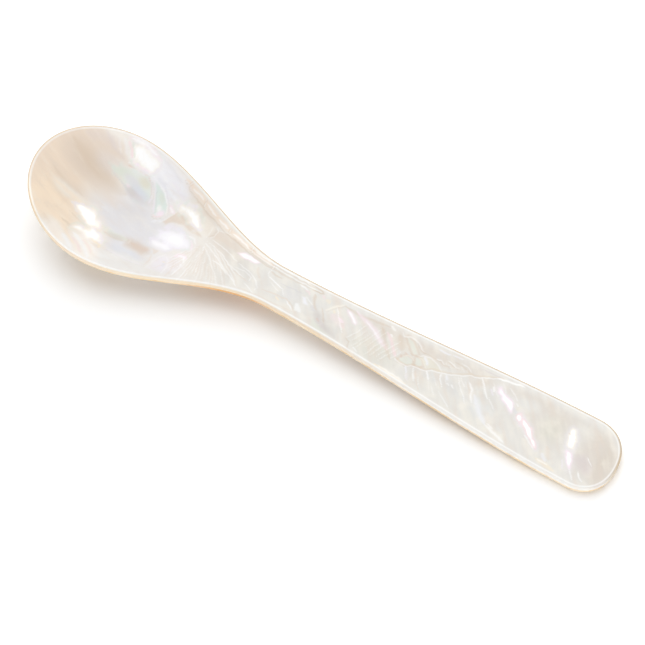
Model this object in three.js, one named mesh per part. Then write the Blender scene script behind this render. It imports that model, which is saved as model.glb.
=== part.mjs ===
// Mother-of-pearl spoon, carved and polished from one blank of pearl shell.
//
// The shell grew in two layers and both are kept as solids of their own: the white nacre that
// forms the whole upper face, and the honey-coloured layer under it that forms the back.
// They meet on one shared surface, with no gap and no joint, as they do in the shell.
//
// Millimetres. The spoon lies on a table, +Z up. +X runs from the bowl to the handle's end, and
// the origin is on the table under the middle of the spoon. Along the spoon, a station is the
// distance from the front of the bowl's lip.
import * as THREE from "three";

// Plan, seen from above
const length = 125;
const bowlWidth = 28;
const bowlCentre = 16.7; // station of the widest place
const neckWidth = 8.6;
const neckAt = 52.4; // station of the narrowest place
const endWidth = 14.6;
const endRound = 7; // length of the handle's rounded end
const endSquareness = 2.2; // 2 is an ellipse, more is squarer

// Side profile
const lipRise = 4.85; // the lip above the level part of the rim
const lipCurve = 1.65; // 1 is a straight rise to the lip
const shoulderAt = 30; // station where the rim lies level
const bowlDepth = 5.3; // hollow below the rim at the bowl's centre
const hollowEnd = 47; // station where the hollow has run out into the neck
const hollowRoundness = 2.1; // 2 is a parabola across the bowl

// Layers and edges
const nacreThickness = 0.7;
const bowlBackThickness = 1.0;
const handleBackThickness = 1.3;
const upperEdgeRound = 0.5;
const lowerEdgeRound = 0.6;
const restCut = 0.2; // depth ground flat where the spoon rests on the table

// Fineness of the facets
const lipSteps = 9; // quarter of the lip
const sideSteps = 32; // one side, widest place to rounded end
const endSteps = 6; // quarter of the rounded end
const acrossFractions = [0, 0.18, 0.4, 0.62, 0.83, 1]; // middle line to edge
const profileStep = 0.25; // spacing of the stations searched for the bowl's lowest place

const { lerp, smoothstep } = THREE.MathUtils;
const endStart = length - endRound;

// An edge's rounding takes up most of its layer's thickness at the most.
const mostRound = 0.8;
const thinnestBack = Math.min(bowlBackThickness, handleBackThickness);
const upperRound = Math.min(upperEdgeRound, mostRound * nacreThickness);
const lowerRound = Math.min(lowerEdgeRound, mostRound * thinnestBack);

function backThickness(station) {
  return lerp(bowlBackThickness, handleBackThickness, smoothstep(station, bowlCentre, neckAt));
}

function lipHeight(station) {
  return lipRise * Math.max(0, 1 - station / shoulderAt) ** lipCurve;
}

function hollowDepth(station) {
  return bowlDepth * (1 - smoothstep(station, bowlCentre, hollowEnd));
}

// The level part of the rim is as high as puts the bowl's underside on the table, and the
// handle comes down until its end lies on the table too.
function levelRimHeight() {
  let deepest = 0;
  for (let station = bowlCentre; station < hollowEnd; station += profileStep) {
    const depth = hollowDepth(station) + backThickness(station) - lipHeight(station);
    deepest = Math.max(deepest, depth);
  }
  return deepest + nacreThickness - restCut;
}

const levelRim = levelRimHeight();
const endTop = nacreThickness + handleBackThickness - restCut;

function rimHeight(station) {
  return lerp(levelRim, endTop, smoothstep(station, shoulderAt, length)) + lipHeight(station);
}

// One side of the plan. Each point has an anchor on the middle line: lines from the anchors to
// the points fan out around the bowl's centre and the rounded end, and run straight across
// in between.
function halfPlan() {
  const points = [];
  for (let i = 0; i < lipSteps; i++) {
    const angle = (i / lipSteps) * (Math.PI / 2);
    points.push({
      anchor: bowlCentre,
      x: bowlCentre * (1 - Math.cos(angle)),
      y: (bowlWidth / 2) * Math.sin(angle),
    });
  }
  for (let i = 0; i <= sideSteps; i++) {
    const station = lerp(bowlCentre, endStart, i / sideSteps);
    const toNeck = smoothstep(station, bowlCentre, neckAt);
    const toEnd = smoothstep(station, neckAt, endStart);
    const width = lerp(bowlWidth, neckWidth, toNeck) + (endWidth - neckWidth) * toEnd;
    points.push({ anchor: station, x: station, y: width / 2 });
  }
  for (let i = endSteps - 1; i >= 0; i--) {
    const angle = (i / endSteps) * (Math.PI / 2);
    points.push({
      anchor: endStart,
      x: endStart + endRound * Math.cos(angle) ** (2 / endSquareness),
      y: (endWidth / 2) * Math.sin(angle) ** (2 / endSquareness),
    });
  }
  return points;
}

// The whole plan as a closed loop, each point with its inward direction square to the edge.
function closedPlan() {
  const farSide = halfPlan();
  const nearSide = farSide.slice(1, -1).reverse();
  const loop = [...farSide, ...nearSide.map((point) => ({ ...point, y: -point.y }))];
  return loop.map((point, i) => {
    const before = loop[(i + loop.length - 1) % loop.length];
    const after = loop[(i + 1) % loop.length];
    const inward = new THREE.Vector2(after.y - before.y, before.x - after.x).normalize();
    return { ...point, inward };
  });
}

const plan = closedPlan();

// A loop of points set in from the plan's edge by inset, then drawn towards the anchors: fraction
// is 1 at the edge and 0 on the middle line. drop(station) is the depth below the upper face.
function ring(inset, fraction, drop) {
  return plan.map(({ anchor, x, y, inward }) => {
    const station = lerp(anchor, x + inset * inward.x, fraction);
    const across = (y + inset * inward.y) * fraction;
    const hollow = hollowDepth(anchor) * (1 - fraction ** hollowRoundness);
    const height = rimHeight(station) - hollow - drop(station);
    return new THREE.Vector3(station - length / 2, across, Math.max(0, height));
  });
}

// Rings from the middle line out to the edge, all at one depth below the upper face.
function sheet(inset, drop) {
  return acrossFractions.map((fraction) => ring(inset, fraction, drop));
}

// A rounded edge in two facets, from the face at drop faceDrop to the side at drop sideDrop.
function roundedEdge(radius, faceDrop, sideDrop) {
  const halfway = Math.SQRT1_2;
  const cornerDrop = (station) => lerp(sideDrop(station), faceDrop(station), halfway);
  return [ring(radius * (1 - halfway), 1, cornerDrop), ring(0, 1, sideDrop)];
}

// A closed solid from rings that begin on the middle line, pass round the edge and end on
// the middle line again. Points that coincide there are shared.
function solidFromRings(rings, upsideDown) {
  const positions = [];
  const numbers = new Map();
  const numberOf = (point) => {
    const key = point.toArray().map((value) => value.toFixed(4)).join(" ");
    if (!numbers.has(key)) {
      numbers.set(key, positions.length / 3);
      positions.push(...point.toArray());
    }
    return numbers.get(key);
  };
  const triangles = [];
  const addTriangle = (a, b, c) => {
    if (a !== b && b !== c && c !== a) {
      triangles.push(...(upsideDown ? [a, c, b] : [a, b, c]));
    }
  };
  const numbered = rings.map((points) => points.map(numberOf));
  for (let r = 0; r + 1 < numbered.length; r++) {
    for (let i = 0; i < plan.length; i++) {
      const next = (i + 1) % plan.length;
      const corner = numbered[r][i];
      const opposite = numbered[r + 1][next];
      addTriangle(corner, numbered[r][next], opposite);
      addTriangle(corner, opposite, numbered[r + 1][i]);
    }
  }
  const geometry = new THREE.BufferGeometry();
  geometry.setAttribute("position", new THREE.Float32BufferAttribute(positions, 3));
  geometry.setIndex(triangles);
  geometry.computeVertexNormals();
  return geometry;
}

const upperFace = () => 0;
const layerLine = () => nacreThickness;
const underside = (station) => nacreThickness + backThickness(station);

// Where the two layers meet, from the edge in to the middle line
const layerSurface = [ring(0, 1, layerLine), ...sheet(upperRound, layerLine).reverse()];

function nacreFace() {
  const rings = [
    ...sheet(upperRound, upperFace),
    ...roundedEdge(upperRound, upperFace, () => upperRound),
    ...layerSurface,
  ];
  const material = new THREE.MeshStandardMaterial({ color: 0xebe5db, roughness: 0.22, metalness: 0 });
  return new THREE.Mesh(solidFromRings(rings, false), material);
}

function honeyBack() {
  const sideDrop = (station) => underside(station) - lowerRound;
  const rings = [
    ...sheet(lowerRound, underside),
    ...roundedEdge(lowerRound, underside, sideDrop),
    ...layerSurface,
  ];
  const material = new THREE.MeshStandardMaterial({ color: 0xe3c498, roughness: 0.3, metalness: 0 });
  return new THREE.Mesh(solidFromRings(rings, true), material);
}

const spoon = new THREE.Group();
for (const [name, layer] of [["nacre_face", nacreFace()], ["honey_back", honeyBack()]]) {
  layer.name = name;
  spoon.add(layer);
}

export default spoon;
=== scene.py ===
# %% [markdown]
# A spoon of mother-of-pearl
#
# The spoon is carved from one blank of pearl shell and polished until the layers inside it show.
# Two of those layers can be told apart: white nacre on the upper face, and a honey-coloured layer
# under it that shows along the edge and on the back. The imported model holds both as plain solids.
# Here each gets a fine mesh by the same rule, and a finish that is drawn, layer by layer, as the
# shell grew it.

# %% Load the frame
import math

import bpy
import numpy as np
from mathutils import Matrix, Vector, noise


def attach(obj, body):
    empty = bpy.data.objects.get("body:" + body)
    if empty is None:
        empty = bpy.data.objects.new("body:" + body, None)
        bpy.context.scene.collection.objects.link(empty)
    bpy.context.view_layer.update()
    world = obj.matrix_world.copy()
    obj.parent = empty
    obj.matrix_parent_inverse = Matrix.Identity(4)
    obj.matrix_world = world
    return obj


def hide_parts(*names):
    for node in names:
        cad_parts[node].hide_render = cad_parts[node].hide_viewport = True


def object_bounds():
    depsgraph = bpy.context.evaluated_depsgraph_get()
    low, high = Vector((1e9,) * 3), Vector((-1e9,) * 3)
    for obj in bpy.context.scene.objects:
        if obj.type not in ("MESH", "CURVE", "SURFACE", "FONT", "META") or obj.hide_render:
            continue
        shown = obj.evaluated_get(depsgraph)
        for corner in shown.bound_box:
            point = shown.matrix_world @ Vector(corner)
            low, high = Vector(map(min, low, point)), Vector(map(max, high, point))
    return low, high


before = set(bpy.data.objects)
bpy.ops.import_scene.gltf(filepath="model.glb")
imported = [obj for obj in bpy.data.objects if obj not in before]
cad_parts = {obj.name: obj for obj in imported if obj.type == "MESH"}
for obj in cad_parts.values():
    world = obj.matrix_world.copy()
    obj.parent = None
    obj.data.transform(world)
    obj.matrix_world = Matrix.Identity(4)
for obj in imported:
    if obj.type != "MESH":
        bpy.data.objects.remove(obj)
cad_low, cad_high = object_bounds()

MM = 0.001
print("CAD box, mm:", [round(v / MM, 2) for v in cad_high - cad_low])

# %% [markdown]
# Two small helpers
#
# Colours are written as the hex values that a painter would pick on screen, and Blender works in
# linear light, so one function turns the one into the other. A second function adds a node to any
# tree: its inputs are values or the outputs of other nodes, and what comes back is an output.

# %% Helpers for colours and nodes


def linear(hex_colour):
    """An sRGB hex colour as linear red, green and blue."""
    parts = [int(hex_colour[i:i + 2], 16) / 255 for i in (1, 3, 5)]
    return tuple(p / 12.92 if p <= 0.04045 else ((p + 0.055) / 1.055) ** 2.4 for p in parts)


def add(tree, kind, inputs=(), out=0, **settings):
    """Adds a node with its settings, fills its inputs in order or by name, and returns one output."""
    node = tree.nodes.new(kind)
    for name, value in settings.items():
        setattr(node, name, value)
    pairs = inputs.items() if isinstance(inputs, dict) else enumerate(inputs)
    for key, value in pairs:
        if isinstance(value, bpy.types.NodeSocket):
            tree.links.new(value, node.inputs[key])
        else:
            node.inputs[key].default_value = value
    return node.outputs[out] if len(node.outputs) else node


MATH = "ShaderNodeMath"
RANGE = "ShaderNodeMapRange"
SMOOTH = {"interpolation_type": "SMOOTHSTEP"}
QUARTER = math.pi / 2

# %% [markdown]
# The rule of the spoon's shape
#
# A carver works from a plan and a side profile. The plan is half an ellipse for the bowl's front,
# a smooth waist, and a squarish rounded end. The profile is a lip that rises, a level rim and a
# handle that comes down to the table. Lines fan out from the bowl's centre and from the rounded
# end, and run straight across in between, so the mesh has no slivers anywhere. A Geometry Nodes
# tree says all this as sums on a grid: columns run round the plan, and rows run from the middle
# line over the edge and back under to the middle line. Sculpting it by hand would look as good, but
# then the two layers wouldn't meet exactly.

# %% The sizes, in millimetres
SPOON = {
    "Length": (cad_high.x - cad_low.x) / MM,
    "Bowl Width": (cad_high.y - cad_low.y) / MM,
    "Bowl Centre": 16.7,
    "Neck Width": 8.6,
    "Neck Station": 52.4,
    "End Width": 14.6,
    "End Round": 7.0,
    "End Squareness": 2.2,
    "Lip Rise": 4.85,
    "Lip Curve": 1.65,
    "Shoulder Station": 30.0,
    "End Top": 1.8,
    "Bowl Depth": 5.3,
    "Hollow End": 47.0,
    "Hollow Roundness": 2.1,
}
NACRE_THICKNESS = 0.7
BOWL_BACK_THICKNESS = 1.0
HANDLE_BACK_THICKNESS = 1.3
LAYERS = {
    "nacre_face": {
        "Top Drop": 0.0,
        "Bowl Bottom Drop": NACRE_THICKNESS,
        "Handle Bottom Drop": NACRE_THICKNESS,
        "Upper Round": 0.5,
        "Lower Round": 0.0,
    },
    "honey_back": {
        "Top Drop": NACRE_THICKNESS,
        "Bowl Bottom Drop": NACRE_THICKNESS + BOWL_BACK_THICKNESS,
        "Handle Bottom Drop": NACRE_THICKNESS + HANDLE_BACK_THICKNESS,
        "Upper Round": 0.0,
        "Lower Round": 0.6,
    },
}
ROUNDED_LIP = 1 - LAYERS["nacre_face"]["Upper Round"] / SPOON["Shoulder Station"]
LIP_TOP = SPOON["Lip Rise"] * ROUNDED_LIP ** SPOON["Lip Curve"]
SPOON["Level Rim"] = cad_high.z / MM - LIP_TOP
FINENESS = {
    "nacre_face": {"Face Rows": 56, "Edge Rows": 6, "Back Rows": 3},
    "honey_back": {"Face Rows": 3, "Edge Rows": 6, "Back Rows": 24},
}
COLUMNS = {"Lip Columns": 90, "Side Columns": 500, "End Columns": 50}
print("level rim, mm:", round(SPOON["Level Rim"], 2))

# %% The tree: columns and rows of the grid


def new_shape_tree():
    """A tree with a named input for every size, and its inputs as a dict of sockets."""
    tree = bpy.data.node_groups.new("spoon_layer", "GeometryNodeTree")
    for name in [*COLUMNS, *FINENESS["nacre_face"]]:
        tree.interface.new_socket(name, in_out="INPUT", socket_type="NodeSocketInt")
    for name in [*SPOON, *LAYERS["nacre_face"]]:
        tree.interface.new_socket(name, in_out="INPUT", socket_type="NodeSocketFloat")
    tree.interface.new_socket("Material", in_out="INPUT", socket_type="NodeSocketMaterial")
    tree.interface.new_socket("Geometry", in_out="OUTPUT", socket_type="NodeSocketGeometry")
    group = tree.nodes.new("NodeGroupInput")
    return tree, {socket.name: socket for socket in group.outputs if socket.name}


tree, size = new_shape_tree()
to_end = add(tree, MATH, [size["Lip Columns"], size["Side Columns"]], operation="ADD")
half_columns = add(tree, MATH, [to_end, size["End Columns"]], operation="ADD")
columns = add(tree, MATH, [half_columns, 2, 1], operation="MULTIPLY_ADD")
upper_edge = add(tree, MATH, [size["Face Rows"], size["Edge Rows"]], operation="ADD")
side_row = add(tree, MATH, [upper_edge, 1], operation="ADD")
back_row = add(tree, MATH, [side_row, size["Edge Rows"]], operation="ADD")
last_row = add(tree, MATH, [back_row, size["Back Rows"]], operation="ADD")
rows = add(tree, MATH, [last_row, 1], operation="ADD")
grid = add(tree, "GeometryNodeMeshGrid", [1, 1, columns, rows])
place = add(tree, "GeometryNodeInputPosition")
grid_x = add(tree, "ShaderNodeSeparateXYZ", [place], out="X")
grid_y = add(tree, "ShaderNodeSeparateXYZ", [place], out="Y")
side = add(tree, MATH, [grid_x], operation="SIGN")
from_lip = add(tree, MATH, [grid_x], operation="ABSOLUTE")
both_halves = add(tree, MATH, [half_columns, 2], operation="MULTIPLY")
column = add(tree, MATH, [from_lip, both_halves], operation="MULTIPLY")
row_share = add(tree, MATH, [grid_y, 0.5], operation="ADD")
row = add(tree, MATH, [row_share, last_row], operation="MULTIPLY")

# %% The tree: the plan
end_start = add(tree, MATH, [size["Length"], size["End Round"]], operation="SUBTRACT")
lip_angle = add(tree, RANGE, [column, 0, size["Lip Columns"], 0, QUARTER])
lip_rest = add(tree, RANGE, [column, 0, size["Lip Columns"], QUARTER, 0])
anchor = add(tree, RANGE, [column, size["Lip Columns"], to_end, size["Bowl Centre"], end_start])
end_angle = add(tree, RANGE, [column, to_end, half_columns, 0, QUARTER])
end_rest = add(tree, RANGE, [column, to_end, half_columns, QUARTER, 0])
end_power = add(tree, MATH, [2, size["End Squareness"]], operation="DIVIDE")

lip_sine = add(tree, MATH, [lip_angle], operation="SINE")
lip_cosine = add(tree, MATH, [lip_rest], operation="SINE")
end_sine = add(tree, MATH, [end_angle], operation="SINE")
end_cosine = add(tree, MATH, [end_rest], operation="SINE")
end_along = add(tree, MATH, [end_sine, end_power], operation="POWER")
end_across = add(tree, MATH, [end_cosine, end_power], operation="POWER")
lip_reach = add(tree, MATH, [size["Bowl Centre"], lip_cosine], operation="MULTIPLY")
end_reach = add(tree, MATH, [size["End Round"], end_along], operation="MULTIPLY")
reach_along = add(tree, MATH, [end_reach, lip_reach], operation="SUBTRACT")

waist = add(tree, RANGE, [anchor, size["Bowl Centre"], size["Neck Station"], size["Bowl Width"],
                          size["Neck Width"]], **SMOOTH)
flare = add(tree, MATH, [size["End Width"], size["Neck Width"]], operation="SUBTRACT")
spread = add(tree, RANGE, [anchor, size["Neck Station"], end_start, 0, flare], **SMOOTH)
width = add(tree, MATH, [waist, spread], operation="ADD")
half_width = add(tree, MATH, [width, 0.5], operation="MULTIPLY")
narrowed = add(tree, MATH, [half_width, lip_sine], operation="MULTIPLY")
reach_across = add(tree, MATH, [narrowed, end_across], operation="MULTIPLY")
reach_vector = add(tree, "ShaderNodeCombineXYZ", [reach_along, reach_across])
reach = add(tree, "ShaderNodeVectorMath", [reach_vector], out="Value", operation="LENGTH")

# %% The tree: the rounded edge, and how far each row lies from the middle line
upper_angle = add(tree, RANGE, [row, size["Face Rows"], upper_edge, 0, QUARTER])
lower_angle = add(tree, RANGE, [row, side_row, back_row, 0, QUARTER])
upper_sine = add(tree, MATH, [upper_angle], operation="SINE")
upper_cosine = add(tree, MATH, [upper_angle], operation="COSINE")
lower_sine = add(tree, MATH, [lower_angle], operation="SINE")
lower_cosine = add(tree, MATH, [lower_angle], operation="COSINE")
short_of_sine = add(tree, MATH, [1, upper_sine], operation="SUBTRACT")
short_of_cosine = add(tree, MATH, [1, lower_cosine], operation="SUBTRACT")
upper_inset = add(tree, MATH, [size["Upper Round"], short_of_sine], operation="MULTIPLY")
inset = add(tree, MATH, [size["Lower Round"], short_of_cosine, upper_inset], operation="MULTIPLY_ADD")
face_share = add(tree, RANGE, [row, 0, size["Face Rows"], 0, 1])
back_share = add(tree, RANGE, [row, back_row, last_row, 1, 0])
fraction = add(tree, MATH, [face_share, back_share], operation="MULTIPLY")
inset_share = add(tree, MATH, [inset, reach], operation="DIVIDE")
edge_share = add(tree, MATH, [1, inset_share], operation="SUBTRACT")
shrink = add(tree, MATH, [fraction, edge_share], operation="MULTIPLY")
station = add(tree, MATH, [reach_along, shrink, anchor], operation="MULTIPLY_ADD")
one_side = add(tree, MATH, [reach_across, shrink], operation="MULTIPLY")
across = add(tree, MATH, [one_side, side], operation="MULTIPLY")
from_edge = add(tree, MATH, [1, shrink], operation="SUBTRACT")
edge_distance = add(tree, MATH, [from_edge, reach], operation="MULTIPLY")

# %% The tree: heights above the table
upper_fall = add(tree, MATH, [1, upper_cosine], operation="SUBTRACT")
upper_drop = add(tree, MATH, [size["Upper Round"], upper_fall, size["Top Drop"]],
                 operation="MULTIPLY_ADD")
bottom_drop = add(tree, RANGE, [station, size["Bowl Centre"], size["Neck Station"],
                                size["Bowl Bottom Drop"], size["Handle Bottom Drop"]], **SMOOTH)
lower_rise = add(tree, MATH, [1, lower_sine], operation="SUBTRACT")
lower_lift = add(tree, MATH, [size["Lower Round"], lower_rise], operation="MULTIPLY")
lower_drop = add(tree, MATH, [bottom_drop, lower_lift], operation="SUBTRACT")
is_lower = add(tree, MATH, [row, upper_edge], operation="SUBTRACT")
below_side = add(tree, MATH, [is_lower, 0.5], operation="GREATER_THAN")
drop = add(tree, "ShaderNodeMix", {"Factor": below_side, "A": upper_drop, "B": lower_drop})

lip_run = add(tree, MATH, [station, size["Shoulder Station"]], operation="DIVIDE")
lip_left = add(tree, MATH, [1, lip_run], operation="SUBTRACT", use_clamp=True)
lip_bend = add(tree, MATH, [lip_left, size["Lip Curve"]], operation="POWER")
level = add(tree, RANGE, [station, size["Shoulder Station"], size["Length"], size["Level Rim"],
                          size["End Top"]], **SMOOTH)
rim = add(tree, MATH, [size["Lip Rise"], lip_bend, level], operation="MULTIPLY_ADD")
depth = add(tree, RANGE, [anchor, size["Bowl Centre"], size["Hollow End"], size["Bowl Depth"], 0],
            **SMOOTH)
wall_rise = add(tree, MATH, [fraction, size["Hollow Roundness"]], operation="POWER")
hollow_share = add(tree, MATH, [1, wall_rise], operation="SUBTRACT")
hollow = add(tree, MATH, [depth, hollow_share], operation="MULTIPLY")
face = add(tree, MATH, [rim, hollow], operation="SUBTRACT")
lowered = add(tree, MATH, [face, drop], operation="SUBTRACT")
height = add(tree, MATH, [lowered, 0], operation="MAXIMUM")

# %% The tree: from numbers to a mesh in metres
half_length = add(tree, MATH, [size["Length"], 0.5], operation="MULTIPLY")
along = add(tree, MATH, [station, half_length], operation="SUBTRACT")
in_mm = add(tree, "ShaderNodeCombineXYZ", [along, across, height])
in_metres = add(tree, "ShaderNodeVectorMath", {0: in_mm, "Scale": MM}, operation="SCALE")
marked = add(tree, "GeometryNodeStoreNamedAttribute",
             {"Geometry": grid, "Name": "edge_mm", "Value": edge_distance})
marked = add(tree, "GeometryNodeStoreNamedAttribute",
             {"Geometry": marked, "Name": "depth_mm", "Value": drop})
shaped = add(tree, "GeometryNodeSetPosition", {"Geometry": marked, "Position": in_metres})
COINCIDENT = 0.001 * MM
merged = add(tree, "GeometryNodeMergeByDistance", {"Geometry": shaped, "Distance": COINCIDENT})
smooth = add(tree, "GeometryNodeSetShadeSmooth", {"Geometry": merged})
realized = add(tree, "GeometryNodeRealizeInstances", {"Geometry": smooth})
finished = add(tree, "GeometryNodeSetMaterial", {"Geometry": realized, "Material": size["Material"]})
add(tree, "NodeGroupOutput", [finished])
print("shape tree:", len(tree.nodes), "nodes")

# %% [markdown]
# From the tree to two plain meshes
#
# A modifier that stays live would be worked out again for every render, and the painting below
# needs real vertices to paint on. So the tree is run once for each layer, its result is kept as a
# plain mesh, and the modifier goes. The corner where the layers meet stays sharp, because a
# polished edge shows that line.

# %% Run the tree for both layers
SHARP_CORNER = math.radians(40)


def grow_layer(piece_name, node_name, material):
    """One layer of the spoon as an object with a plain mesh."""
    piece = bpy.data.objects.new(piece_name, bpy.data.meshes.new(piece_name))
    bpy.context.scene.collection.objects.link(piece)
    modifier = piece.modifiers.new("spoon_layer", "NODES")
    modifier.node_group = tree
    values = {**COLUMNS, **FINENESS[node_name], **SPOON, **LAYERS[node_name], "Material": material}
    for socket in tree.interface.items_tree:
        if socket.in_out == "INPUT":
            modifier[socket.identifier] = values[socket.name]
    evaluated = piece.evaluated_get(bpy.context.evaluated_depsgraph_get())
    mesh = bpy.data.meshes.new_from_object(evaluated)
    mesh.set_sharp_from_angle(angle=SHARP_CORNER)
    piece.modifiers.remove(modifier)
    piece.data = mesh
    mesh.name = piece_name
    print(piece_name, "triangles:", sum(len(face.vertices) - 2 for face in mesh.polygons))
    return piece


nacre = bpy.data.materials.new("polished_nacre")
honey = bpy.data.materials.new("polished_honey_shell")
nacre_layer = grow_layer("nacre_layer", "nacre_face", nacre)
honey_layer = grow_layer("honey_layer", "honey_back", honey)
for piece, node_name, slot in (
    (nacre_layer, "nacre_face", "nacre"),
    (honey_layer, "honey_back", "honey_shell"),
):
    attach(piece, "root")
    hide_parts(node_name)

# %% [markdown]
# The nacre as a canvas
#
# Nacre is thousands of clear plates, each thinner than a hair. Where the carver cut through them at
# a slant, they catch the light as washes of honey, grey and rose, as white flashes and as fine
# lines. A noise texture alone gives only clouds, so the figure of this blank is painted: each
# wash, facet or stroke has a place and a size in millimetres and is laid on the mesh's own
# vertices. Places are written as a station, counted from the lip, and a distance across,
# positive towards the far side. A little noise bends every outline.

# %% Places on the upper face
spots = np.empty(len(nacre_layer.data.vertices) * 3, dtype=np.float32)
nacre_layer.data.vertices.foreach_get("co", spots)
spots = spots.reshape(-1, 3).astype(float) / MM
spots[:, 0] += SPOON["Length"] / 2
edge = np.empty(len(spots), dtype=np.float32)
nacre_layer.data.attributes["edge_mm"].data.foreach_get("value", edge)

# Each seed has its own slice of the noise. Its shape is a fall-off, a step in scale and octaves.
SLICE_GAP = 17.3
NOISE_SHAPE = (1, 2, 4)


def cloud(lump, seed, stretch=1, turn=0):
    """Soft noise from about -1 to 1: lumps of a size in mm, drawn out in a direction in degrees."""
    turn = math.radians(turn)
    along = (spots[:, 0] * math.cos(turn) + spots[:, 1] * math.sin(turn)) / (lump * stretch)
    aside = (spots[:, 1] * math.cos(turn) - spots[:, 0] * math.sin(turn)) / lump
    level = SLICE_GAP * seed
    return np.array([noise.fractal((u, v, level), *NOISE_SHAPE) for u, v in zip(along, aside)])


WANDER, WANDER_LUMP = 0.25, 4.0
FRAY, FRAY_LUMP = 0.1, 0.8
RAGGED_LUMP = 1.2
at = spots[:, 0] + WANDER * cloud(WANDER_LUMP, 1) + FRAY * cloud(FRAY_LUMP, 3)
off = spots[:, 1] + WANDER * cloud(WANDER_LUMP, 2) + FRAY * cloud(FRAY_LUMP, 4)
ragged = cloud(RAGGED_LUMP, 5)
print("canvas:", len(at), "vertices")

# %% Soft shapes: patches, lines and outlines


def fade(value, full, none):
    """1 at full, 0 at none, and a smooth change between them."""
    t = np.clip((value - none) / (full - none), 0, 1)
    return t * t * (3 - 2 * t)


def patch(station, across, length, breadth, turn=0, hard=0.3):
    """A soft oval: 1 in its middle, 0 at its rim. hard is the share that is full."""
    turn = math.radians(turn)
    along = (at - station) * math.cos(turn) + (off - across) * math.sin(turn)
    aside = (off - across) * math.cos(turn) - (at - station) * math.sin(turn)
    return fade(np.hypot(along / length, aside / breadth) * 2, hard, 1)


def follow(points):
    """For a line through the points: distance to it, share of its length, and which side."""
    nearest = np.full(len(at), np.inf)
    share = np.zeros(len(at))
    which = np.ones(len(at))
    for i, (start, end) in enumerate(zip(points, points[1:])):
        run = np.subtract(end, start)
        t = ((at - start[0]) * run[0] + (off - start[1]) * run[1]) / (run @ run)
        t = np.clip(t, 0, 1)
        gap_x = at - start[0] - t * run[0]
        gap_y = off - start[1] - t * run[1]
        distance = np.hypot(gap_x, gap_y)
        closer = distance < nearest
        nearest = np.where(closer, distance, nearest)
        share = np.where(closer, (i + t) / (len(points) - 1), share)
        which = np.where(closer, np.sign(run[0] * gap_y - run[1] * gap_x), which)
    return nearest, share, which


def inside(outline):
    """Distance in mm to a closed outline of points, positive inside it."""
    distance, _, _ = follow([*outline, outline[0]])
    odd = np.zeros(len(at), dtype=bool)
    for (s0, y0), (s1, y1) in zip(outline, [*outline[1:], outline[0]]):
        if y0 != y1:
            crosses = (off < y0) != (off < y1)
            odd ^= crosses & (at < s0 + (off - y0) * (s1 - s0) / (y1 - y0))
    return np.where(odd, distance, -distance)


# %% Tints, and the ways to lay them
TINTS = {
    "cream": "#EFEAE3",
    "silver": "#E7E4E0",
    "mist": "#F4F4F2",
    "pearl": "#F2F2F7",
    "lavender": "#E1E0E3",
    "lilac": "#F0EBF4",
    "slate": "#CFCDD2",
    "ash": "#CCCEC9",
    "blue": "#DADDE5",
    "teal": "#DDEAE4",
    "green": "#DFE3D6",
    "olive": "#E3DECC",
    "ivory": "#FAF4E8",
    "gold": "#FCEBCB",
    "honey": "#FFEBD2",
    "peach": "#F2DEC8",
    "tan": "#E2D2C2",
    "brown": "#CDB598",
    "rust": "#D9BBA6",
    "rose": "#F5DDDF",
    "pink": "#FBEAF3",
    "plum": "#D6CCCD",
    "grey": "#CFC9C4",
    "white": "#FFFFFF",
}
GLINT = 0.25
STROKE_STRENGTH = 0.75
TAPER = 0.2
THIN_END = 0.05
SOFT_SIDE = 1.1
figure = np.empty((len(at), 3))
figure[:] = linear(TINTS["cream"])
flash = np.zeros(len(at))


def gleam(mask):
    """Lets the nacre throw back the light where the mask is."""
    np.maximum(flash, mask, out=flash)


def paint(tint, mask, strength=1.0):
    """Lays a tint over the figure where the mask is. White also gleams a little."""
    cover = np.clip(mask * strength, 0, 1)
    figure[:] += (np.array(linear(TINTS[tint])) - figure) * cover[:, None]
    if tint == "white":
        gleam(GLINT * cover)


def stroke(tint, width, strength, *points):
    """A soft line through the points that narrows towards both ends."""
    distance, share, _ = follow(points)
    ends = np.clip(np.minimum(share, 1 - share) / TAPER, THIN_END, 1)
    half_width = width / 2 * np.sqrt(ends)
    paint(tint, fade(distance / half_width, 0, SOFT_SIDE), strength * STROKE_STRENGTH)


def facet(tint, soft, strength, *outline):
    """A filled outline whose border fades over a width in mm."""
    paint(tint, fade(inside(outline), soft / 2, -soft / 2), strength)


def grain(pattern, where, light, dark):
    """Lays one tint on a pattern's crests and another in its hollows, each with a strength."""
    for sign, (tint, strength) in ((1, light), (-1, dark)):
        paint(tint, np.clip(sign * pattern, 0, 1) * where, strength)


# %% [markdown]
# Washes
#
# The broad colours come first, as a painter would lay them: the cut nearest the outside of the
# shell is honey at the bowl's lip, the deepest cut in the bowl's middle is a cool grey with a
# little violet, and the handle goes from cream at the neck to olive and tan at its end.

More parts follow.
